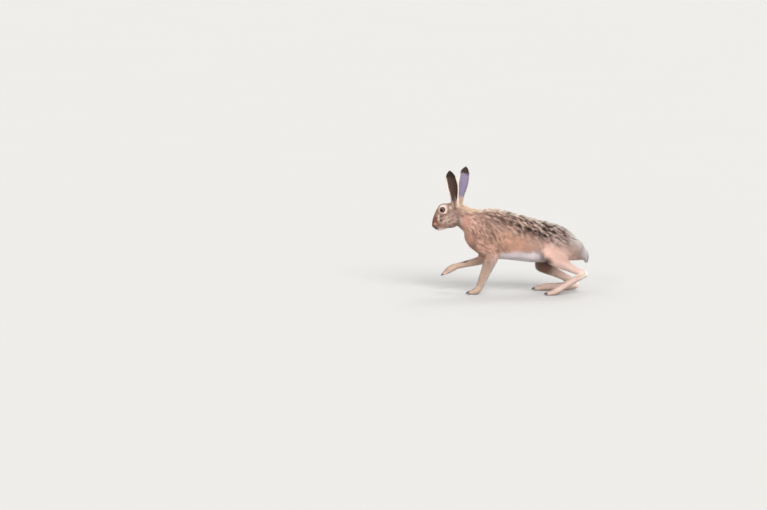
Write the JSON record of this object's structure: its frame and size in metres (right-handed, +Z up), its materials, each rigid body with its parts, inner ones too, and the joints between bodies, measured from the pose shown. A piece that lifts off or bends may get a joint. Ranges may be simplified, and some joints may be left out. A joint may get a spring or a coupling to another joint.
{
  "type": "brown hare",
  "caption": "Life-size still model of a brown hare walking low to the left, ears up, one forefoot reaching forward off the ground.",
  "frame": {"origin": "on the floor, under the middle of the hare's bounding box", "axes": "-X is the way the hare faces, -Y is its left side, +Z is up"},
  "size_m": [0.5282, 0.1586, 0.4189],
  "materials": {
    "body_fur": "grizzled black, cream and tan fur over orange-tan flanks and a white belly",
    "face_fur": "short brown and grey fur with a pale ring round the eye",
    "neck_fur": "soft rusty fur, golden on the nape",
    "leg_fur": "short tan fur, paler behind and below",
    "tail_fur": "long soft fur, black above and white below",
    "ear_fur": "very short fur, black at the tip, cream along the rim",
    "eye": "wet, amber-brown with a black pupil",
    "claw": "dark smooth horn"
  },
  "bodies": {
    "root": {"head": "face_fur", "neck": "neck_fur", "torso": "body_fur", "tail": "tail_fur", "ear_left": "ear_fur", "eye_left": "eye", "shoulder_left": "body_fur", "forearm_left": "leg_fur", "paw_left": "leg_fur", "thigh_left": "body_fur", "shank_left": "leg_fur", "foot_left": "leg_fur", "claw_fore_left_1": "claw", "claw_fore_left_2": "claw", "claw_fore_left_3": "claw", "claw_fore_left_4": "claw", "claw_hind_left_1": "claw", "claw_hind_left_2": "claw", "claw_hind_left_3": "claw", "claw_hind_left_4": "claw", "ear_right": "ear_fur", "eye_right": "eye", "shoulder_right": "body_fur", "forearm_right": "leg_fur", "paw_right": "leg_fur", "thigh_right": "body_fur", "shank_right": "leg_fur", "foot_right": "leg_fur", "claw_fore_right_1": "claw", "claw_fore_right_2": "claw", "claw_fore_right_3": "claw", "claw_fore_right_4": "claw", "claw_hind_right_1": "claw", "claw_hind_right_2": "claw", "claw_hind_right_3": "claw", "claw_hind_right_4": "claw"}
  },
  "joints": []
}
